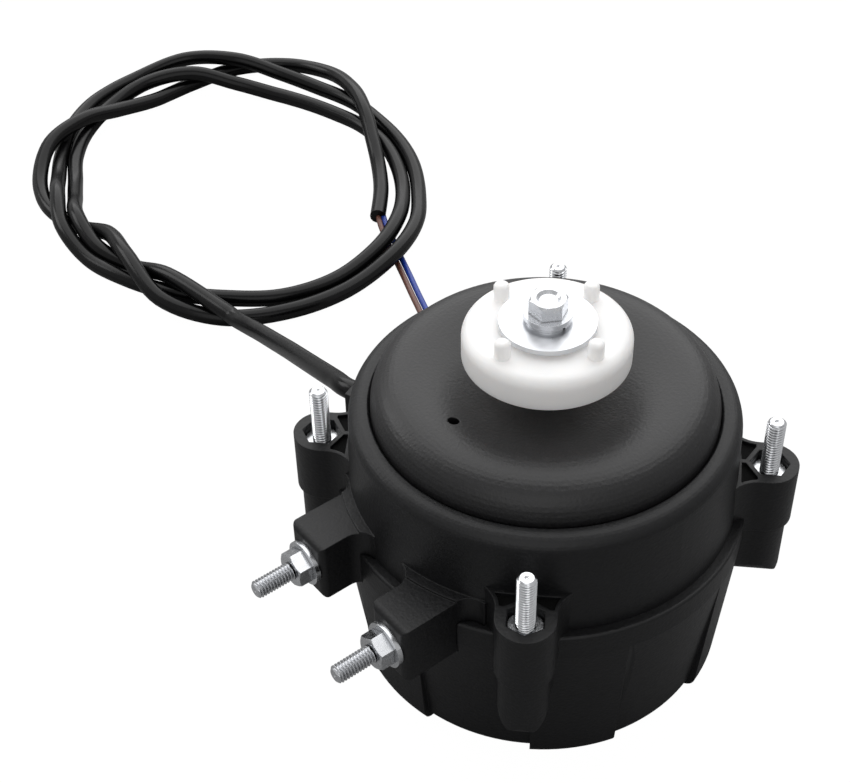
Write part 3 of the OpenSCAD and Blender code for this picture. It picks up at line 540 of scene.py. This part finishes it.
def add_bolt(bm, place, head_low, shank_to, tip, radius, sizes):
    """Hexagon head, plain shank and threaded end, all along the local Z axis."""
    part = bmesh.new()
    head_h = sizes.bolt_head_h
    corner = sizes.hex_af / 2 / math.cos(math.radians(30))
    bmesh.ops.create_cone(part, cap_ends=True, segments=6, radius1=corner, radius2=corner,
                          depth=head_h, matrix=Matrix.Translation((0, 0, head_low + head_h / 2)))
    bmesh.ops.bevel(part, geom=part.edges[:], offset=0.25 * MM, segments=2, profile=0.5,
                    affect="EDGES", material=-1)
    shank_r = radius - sizes.thread_depth / 2
    length = shank_to - head_low - head_h / 2
    bmesh.ops.create_cone(part, cap_ends=True, segments=32, radius1=shank_r, radius2=shank_r,
                          depth=length,
                          matrix=Matrix.Translation((0, 0, shank_to - length / 2)))
    copy_into(part, bm, place)
    add_threaded_end(bm, place, shank_to - sizes.thread_pitch, tip, radius, sizes)


def catmull_rom(points, samples):
    """A smooth line through the points, with the given number of samples from one to the next."""
    line = []
    for i in range(len(points) - 1):
        before, here = points[max(i - 1, 0)], points[i]
        there, after = points[i + 1], points[min(i + 2, len(points) - 1)]
        for k in range(samples):
            t = k / samples
            line.append(0.5 * (2 * here + (there - before) * t
                               + (2 * before - 5 * here + 4 * there - after) * t * t
                               + (3 * here - before - 3 * there + after) * t ** 3))
    line.append(points[-1])
    return line


def coil_height(turned, floor):
    """Height of the coil's axis: on the ground, and in a long low hump over each crossing."""
    height = floor
    for middle, rise, half_width in COIL_HUMPS:
        away = abs(turned - middle)
        if away < half_width:
            height += rise * (1 + math.cos(math.pi * away / half_width)) / 2
    return height


def cable_route(floor):
    """The lead's points, then the coil's turns round their middle."""
    points = [metres(point) for point in LEAD]
    for i, radius in enumerate(INNER_TURN + MIDDLE_TURN + LAST_TURN):
        turned = COIL_STEP * i
        angle = math.radians(COIL_START - turned)
        points.append(metres((COIL_MIDDLE[0] + radius * math.cos(angle),
                              COIL_MIDDLE[1] + radius * math.sin(angle),
                              coil_height(turned, floor))))
    return points


def cord_curve(name, line, diameter, material, node_names):
    """A round cord as a curve of one open spline along a line of points."""
    curve = bpy.data.curves.new(name, "CURVE")
    curve.dimensions = "3D"
    curve.bevel_depth = diameter / 2
    curve.bevel_resolution = 5
    curve.use_fill_caps = True
    spline = curve.splines.new("POLY")
    spline.points.add(len(line) - 1)
    for knot, point in zip(spline.points, line):
        knot.co = (*point, 1)
    spline.use_smooth = True
    curve.materials.append(material)
    piece = bpy.data.objects.new(name, curve)
    bpy.context.scene.collection.objects.link(piece)
    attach(piece, "housing")
    if node_names:
        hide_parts(*node_names)
    return piece


class FANMOTOR_OT_camera(bpy.types.Operator):
    """Places the camera that looks down on the motor"""

    bl_idname = "fanmotor.camera"
    bl_label = "Camera"

    def execute(self, context):
        data = bpy.data.cameras.new("Camera")
        data.sensor_fit = "HORIZONTAL"
        data.sensor_width = 36
        data.lens = FOCAL_PX / PICTURE_W * data.sensor_width
        data.clip_start = 0.01
        camera = bpy.data.objects.new("Camera", data)
        right = Vector(CAMERA_RIGHT).normalized()
        back = right.cross(Vector(CAMERA_UP)).normalized()
        turn = Matrix((right, back.cross(right), back)).transposed()
        camera.matrix_world = Matrix.Translation(CAMERA_PLACE) @ turn.to_4x4()
        context.scene.collection.objects.link(camera)
        context.scene.camera = camera
        return {"FINISHED"}


class FANMOTOR_OT_cable(bpy.types.Operator):
    """Lays the supply cable: out of its lug, down to the ground and round its loose turns"""

    bl_idname = "fanmotor.cable"
    bl_label = "Supply cable"

    def execute(self, context):
        sizes = context.scene.motor_sizes
        floor_z = sizes.cable_d / 2
        line = catmull_rom(cable_route(floor_z / MM + 0.1), 8)
        for point in line:
            point.z = max(point.z, floor_z)
        cable = cord_curve("supply_cable_laid", line, sizes.cable_d, jacket_finish(),
                           ["supply_cable", "cable_coil"])
        return {"FINISHED"}


class FANMOTOR_OT_cores(bpy.types.Operator):
    """Lays the brown and blue cores from the end of the jacket, with their stripped ends"""

    bl_idname = "fanmotor.cores"
    bl_label = "Cores"

    def execute(self, context):
        sizes = context.scene.motor_sizes
        colours = context.scene.motor_colours
        middle = [metres(point) for point in CORE_PAIR]
        for name, side, colour, slot, node in (
                ("brown_core_laid", 1, colours.brown, "brown_sleeve", "brown_core"),
                ("blue_core_laid", -1, colours.blue, "blue_sleeve", "blue_core")):
            points = []
            for i, point in enumerate(middle):
                along = middle[min(i + 1, len(middle) - 1)] - middle[max(i - 1, 0)]
                aside = Vector((along.y, -along.x, 0)).normalized()
                points.append(point + aside * side * CORE_APART * CORE_PAIR[i][3] * MM)
            line = catmull_rom(points, 6)
            core = cord_curve(name, line, sizes.core_d, core_finish(name, colour), [node])
            tip = self.stripped_end(name.replace("core_laid", "bare_end"), line, sizes)
        return {"FINISHED"}

    def stripped_end(self, name, line, sizes):
        """A short bundle of twisted copper strands past the end of a core."""
        along = (line[-1] - line[-2]).normalized()
        along.z = 0
        turn = along.to_track_quat("Z", "Y").to_matrix().to_4x4()
        bm = bmesh.new()
        strands = 7
        strand_r = sizes.bare_d / 6
        for k in range(strands):
            offset = Vector((0, 0, 0))
            if k:
                angle = math.tau * k / (strands - 1)
                offset = Vector((math.cos(angle), math.sin(angle), 0)) * 2 * strand_r
            part = bmesh.new()
            ring = bmesh.ops.create_circle(part, segments=8, radius=strand_r, cap_ends=True)
            bmesh.ops.translate(part, vec=offset, verts=ring["verts"])
            steps = 12
            geom = part.verts[:] + part.edges[:] + part.faces[:]
            bmesh.ops.spin(part, geom=geom, cent=(0, 0, 0), axis=(0, 0, 1),
                           dvec=(0, 0, sizes.bare_length / steps), angle=math.radians(200),
                           steps=steps)
            copy_into(part, bm, Matrix.Identity(4))
        bmesh.ops.transform(bm, matrix=Matrix.Translation(line[-1]) @ turn, verts=bm.verts)
        copper = metal("Copper strands", (0.72, 0.34, 0.18), 0.3)
        return object_from_bmesh(name, bm, copper, "housing")


class FANMOTOR_OT_corner_studs(bpy.types.Operator):
    """Makes the four through bolts with threads on the ends that stand out of the bosses"""

    bl_idname = "fanmotor.corner_studs"
    bl_label = "Corner studs"

    def execute(self, context):
        sizes = context.scene.motor_sizes
        mount = mounts["corner_studs"]
        radius = mount["dims"]["stud_r_mm"] * MM
        low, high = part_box("through_bolts")
        nut_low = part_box("clamp_nuts")[0].z
        bm = bmesh.new()
        for x in (-1, 1):
            for y in (-1, 1):
                spot = (x * mount["dims"]["spacing_x_mm"] / 2 * MM,
                        y * mount["dims"]["spacing_y_mm"] / 2 * MM, 0)
                turn = Matrix.Rotation(math.atan2(y, x), 4, "Z")
                add_bolt(bm, Matrix.Translation(spot) @ turn, low.z, nut_low, high.z, radius, sizes)
        studs = object_from_bmesh("corner_studs", bm, thread_finish(), "housing")
        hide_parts("through_bolts")
        return {"FINISHED"}


class FANMOTOR_OT_side_studs(bpy.types.Operator):
    """Makes the two side bolts with threads on the ends that stand out of their nuts"""

    bl_idname = "fanmotor.side_studs"
    bl_label = "Side studs"

    def execute(self, context):
        sizes = context.scene.motor_sizes
        low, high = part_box("side_bolts")
        nut_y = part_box("flange_nuts")[1].y
        bm = bmesh.new()
        for name in ("side_stud_left", "side_stud_right"):
            mount = mounts[name]
            spot = (mount["pos_m"][0], 0, mount["pos_m"][2])
            place = (Matrix.Translation(spot) @ Matrix.Rotation(math.radians(90), 4, "X")
                     @ Matrix.Rotation(math.radians(30), 4, "Z"))
            add_bolt(bm, place, -high.y, -nut_y, -low.y, mount["dims"]["r_mm"] * MM, sizes)
        studs = object_from_bmesh("side_studs", bm, thread_finish(), "housing")
        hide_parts("side_bolts")
        return {"FINISHED"}


def add_prism(bm, outline, holes, low, top):
    """An upright prism with through holes, from outlines in plan."""
    levels = []
    for z in (low, top):
        loops = [[bm.verts.new((x, y, z)) for x, y in loop] for loop in [outline] + holes]
        edges = [bm.edges.new((a, b)) for loop in loops for a, b in zip(loop, loop[1:] + loop[:1])]
        bmesh.ops.triangle_fill(bm, edges=edges, use_beauty=True)
        levels.append(loops)
    for below, above in zip(*levels):
        for i in range(len(below)):
            after = (i + 1) % len(below)
            bm.faces.new((below[i], below[after], above[after], above[i]))


def arc(center, radius, start, end, steps):
    """Points of an arc between two angles in degrees."""
    return [(center[0] + radius * math.cos(math.radians(start + (end - start) * i / steps)),
             center[1] + radius * math.sin(math.radians(start + (end - start) * i / steps)))
            for i in range(steps + 1)]


class FANMOTOR_OT_boss_caps(bpy.types.Operator):
    """Dresses the corner bosses: a skirt round each, and the rim and ribs that frame its pockets"""

    bl_idname = "fanmotor.boss_caps"
    bl_label = "Boss caps"

    def execute(self, context):
        sizes = context.scene.motor_sizes
        dims = mounts["corner_studs"]["dims"]
        stud_r = math.hypot(dims["spacing_x_mm"], dims["spacing_y_mm"]) / 2 * MM
        face_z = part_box("clamp_nuts")[1].z + NUT_INSET
        seam_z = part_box("rear_shell")[1].z
        outline = self.outline(stud_r, sizes.cap_nose_r)
        socket_r = (sizes.hex_af / 2 + HEX_GAP) / math.cos(math.radians(30))
        socket = arc((stud_r, 0), socket_r, 0, 300, 5)
        pocket = self.pocket(stud_r, sizes.cap_nose_r, socket_r)
        mirrored = [(x, -y) for x, y in pocket]
        bm = bmesh.new()
        floors = bmesh.new()
        for turn in range(4):
            place = Matrix.Rotation(math.radians(45 + 90 * turn), 4, "Z")
            cap = bmesh.new()
            add_prism(cap, outline, [socket, pocket, mirrored], seam_z - sizes.cap_drop,
                      face_z + sizes.cap_rise)
            copy_into(cap, bm, place)
            for corners in (pocket, mirrored):
                floor = bmesh.new()
                add_prism(floor, corners, [], face_z - sizes.cap_rise, face_z + POCKET_FLOOR)
                copy_into(floor, floors, place)
        object_from_bmesh("boss_caps", bm, casting_finish(), "housing")
        # The pocket floors carry painted shade: a near-black sheet at the bottom of each pocket.
        object_from_bmesh("pocket_floors", floors, shade_finish(), "housing")
        return {"FINISHED"}

    def outline(self, stud_r, nose):
        """Plan of a boss along its own radius: a round nose and a hollow flare on each side."""
        shoulder = stud_r - FLARE_SET
        flare = arc((shoulder, nose + FLARE_R), FLARE_R, -90, -145, 8)
        root = [(x, -y) for x, y in reversed(flare)]
        return arc((stud_r, 0), nose, -90, 90, 20) + flare + root

    def pocket(self, stud_r, nose, socket_r):
        """Plan of one pocket, between the wall, the middle rib, the hexagon's frame and the rim."""
        slope = math.tan(math.radians(30))
        frame_r = socket_r + POCKET_FRAME / math.cos(math.radians(30))
        wall_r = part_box("dome_cover")[1].x + WALL_OUT
        rib = POCKET_FRAME / 2
        rim = arc((stud_r - FLARE_SET, nose + FLARE_R), FLARE_R + POCKET_RIM, -97, -122, 5)
        return [(math.sqrt(wall_r ** 2 - rib ** 2), rib),
                (stud_r - frame_r + rib * slope, rib),
                (stud_r - frame_r / 2, frame_r * math.cos(math.radians(30)))] + rim


class FANMOTOR_OT_housing_finish(bpy.types.Operator):
    """Gives the shells, the dome, the hub and the fasteners their finishes"""

    bl_idname = "fanmotor.housing_finish"
    bl_label = "Housing finish"

    def execute(self, context):
        coat_nodes(["rear_shell", "front_shell"], casting_finish())
        coat_nodes(["dome_cover"], dome_finish())
        coat_nodes(["hub"], nylon_finish())
        coat_nodes(["hub_screw", "clamp_nuts", "flange_nuts"], zinc_finish())
        coat_nodes(["fan_washer", "spring_washer"], washer_finish())
        coat_nodes(["cable_grommet", "shell_gasket"], rubber_finish())
        return {"FINISHED"}


class FANMOTOR_OT_inside_finish(bpy.types.Operator):
    """Gives the motor's inner pieces their finishes"""

    bl_idname = "fanmotor.inside_finish"
    bl_label = "Inside finish"

    def execute(self, context):
        coat_nodes(["shaft"], metal("Ground steel", (0.56, 0.57, 0.58), 0.22))
        coat_nodes(["rotor_core", "retaining_clip"], metal("Pressed steel", (0.3, 0.31, 0.33), 0.4))
        coat_nodes(["stator_core"], metal("Laminations", (0.32, 0.33, 0.34), 0.42, 2000, 0.7))
        coat_nodes(["rotor_magnet"], plain_moulding("Ferrite", (0.045, 0.045, 0.05), 0.55))
        coat_nodes(["rear_bearing", "front_bearing"], metal("Sintered bronze", (0.5, 0.34, 0.16), 0.45))
        coat_nodes(["thrust_pad", "thrust_washers", "coil_bobbins"],
                   plain_moulding("Natural plastic", (0.74, 0.7, 0.58)))
        coat_nodes(["coil_windings", "choke"], metal("Enamelled wire", (0.55, 0.22, 0.08), 0.3, 2600, 0.6))
        coat_nodes(["circuit_board"], plain_moulding("Board lacquer", (0.02, 0.13, 0.05), 0.25))
        coat_nodes(["capacitors"], plain_moulding("Can sleeve", (0.03, 0.05, 0.14), 0.25))
        coat_nodes(["power_chips", "hall_sensor"], plain_moulding("Chip black", (0.015, 0.015, 0.017)))
        coat_nodes(["terminal_block"], plain_moulding("Terminal green", (0.03, 0.2, 0.07), 0.35))
        return {"FINISHED"}


class FANMOTOR_OT_stage(bpy.types.Operator):
    """Makes the pale floor, the white room and the soft lights"""

    bl_idname = "fanmotor.stage"
    bl_label = "Stage"

    def execute(self, context):
        settings = context.scene.motor_stage
        self.floor(settings)
        self.room(context.scene, settings)
        self.softbox("Softbox above", (-0.45, 0.5, 0.95), (0, 0, 0.03), 1.9, settings.key_power)
        self.softbox("Fill", (0.7, -0.75, 0.75), (0, 0, 0.05), 1.1, settings.fill_power)
        self.softbox("Side strip", (-0.9, -0.45, 0.6), (0, 0, 0.04), 0.5, settings.rim_power)
        return {"FINISHED"}

    def floor(self, settings):
        bm = bmesh.new()
        bmesh.ops.create_grid(bm, x_segments=1, y_segments=1, size=settings.floor_w / 2)
        mesh = bpy.data.meshes.new("Floor")
        bm.to_mesh(mesh)
        bm.free()
        material = bpy.data.materials.new("White floor")
        material.use_nodes = True
        tree = material.node_tree
        build = ShaderBuilder(tree)
        tree.nodes.remove(tree.nodes["Principled BSDF"])
        paper = build.add("ShaderNodeBsdfDiffuse", {"Color": (0.35, 0.35, 0.35, 1)})
        glow = build.add("ShaderNodeEmission", {"Color": (1, 1, 1, 1), "Strength": FLOOR_GLOW})
        ray = build.add("ShaderNodeLightPath")
        share = build.math("MULTIPLY", ray.outputs["Is Camera Ray"], FLOOR_SHARE)
        mix = build.add("ShaderNodeMixShader", {"Fac": share})
        tree.links.new(paper.outputs[0], mix.inputs[1])
        tree.links.new(glow.outputs[0], mix.inputs[2])
        tree.links.new(mix.outputs[0], tree.nodes["Material Output"].inputs["Surface"])
        mesh.materials.append(material)
        floor = bpy.data.objects.new("Floor", mesh)
        bpy.context.scene.collection.objects.link(floor)

    def room(self, scene, settings):
        world = bpy.data.worlds.new("Room")
        scene.world = world
        world.use_nodes = True
        tree = world.node_tree
        build = ShaderBuilder(tree)
        light = tree.nodes["Background"]
        light.inputs["Color"].default_value = (1, 1, 1, 1)
        seen = build.add("ShaderNodeBackground", {"Color": (1, 1, 1, 1), "Strength": 1.0})
        ray = build.add("ShaderNodeLightPath")
        mirrored = build.math("MULTIPLY", ray.outputs["Is Glossy Ray"], settings.mirrored - settings.world)
        tree.links.new(build.math("ADD", mirrored, settings.world), light.inputs["Strength"])
        mix = build.add("ShaderNodeMixShader", {"Fac": ray.outputs["Is Camera Ray"]})
        tree.links.new(light.outputs[0], mix.inputs[1])
        tree.links.new(seen.outputs[0], mix.inputs[2])
        tree.links.new(mix.outputs[0], tree.nodes["World Output"].inputs["Surface"])

    def softbox(self, name, place, target, size, power):
        data = bpy.data.lights.new(name, "AREA")
        data.shape = "SQUARE"
        data.size = size
        data.energy = power
        lamp = bpy.data.objects.new(name, data)
        lamp.location = place
        lamp.rotation_euler = (Vector(target) - Vector(place)).to_track_quat("-Z", "Y").to_euler()
        bpy.context.scene.collection.objects.link(lamp)


STEPS = (
    FANMOTOR_OT_camera,
    FANMOTOR_OT_cable,
    FANMOTOR_OT_cores,
    FANMOTOR_OT_corner_studs,
    FANMOTOR_OT_side_studs,
    FANMOTOR_OT_boss_caps,
    FANMOTOR_OT_housing_finish,
    FANMOTOR_OT_inside_finish,
    FANMOTOR_OT_stage,
)


class FANMOTOR_PT_panel(bpy.types.Panel):
    """Lists the steps that dress the motor"""

    bl_idname = "FANMOTOR_PT_panel"
    bl_label = "Fan motor"
    bl_space_type = "VIEW_3D"
    bl_region_type = "UI"
    bl_category = "Fan motor"

    def draw(self, context):
        for settings in ("motor_sizes", "motor_colours", "motor_stage"):
            group = getattr(context.scene, settings)
            box = self.layout.box()
            for name in group.bl_rna.properties.keys():
                if name not in {"rna_type", "name"}:
                    box.prop(group, name)
        for step in STEPS:
            self.layout.operator(step.bl_idname)


SETTINGS = (FanMotorColours, FanMotorSizes, FanMotorStage)


def register():
    for cls in SETTINGS + STEPS + (FANMOTOR_PT_panel,):
        bpy.utils.register_class(cls)
    bpy.types.Scene.motor_colours = bpy.props.PointerProperty(type=FanMotorColours)
    bpy.types.Scene.motor_sizes = bpy.props.PointerProperty(type=FanMotorSizes)
    bpy.types.Scene.motor_stage = bpy.props.PointerProperty(type=FanMotorStage)


def unregister():
    for name in ("motor_colours", "motor_sizes", "motor_stage"):
        delattr(bpy.types.Scene, name)
    for cls in reversed(SETTINGS + STEPS + (FANMOTOR_PT_panel,)):
        bpy.utils.unregister_class(cls)


def main():
    register()
    scene = bpy.context.scene
    scene.view_settings.view_transform = "Standard"
    for step in STEPS:
        group, name = step.bl_idname.split(".")
        getattr(getattr(bpy.ops, group), name)()


if __name__ == "__main__":
    main()
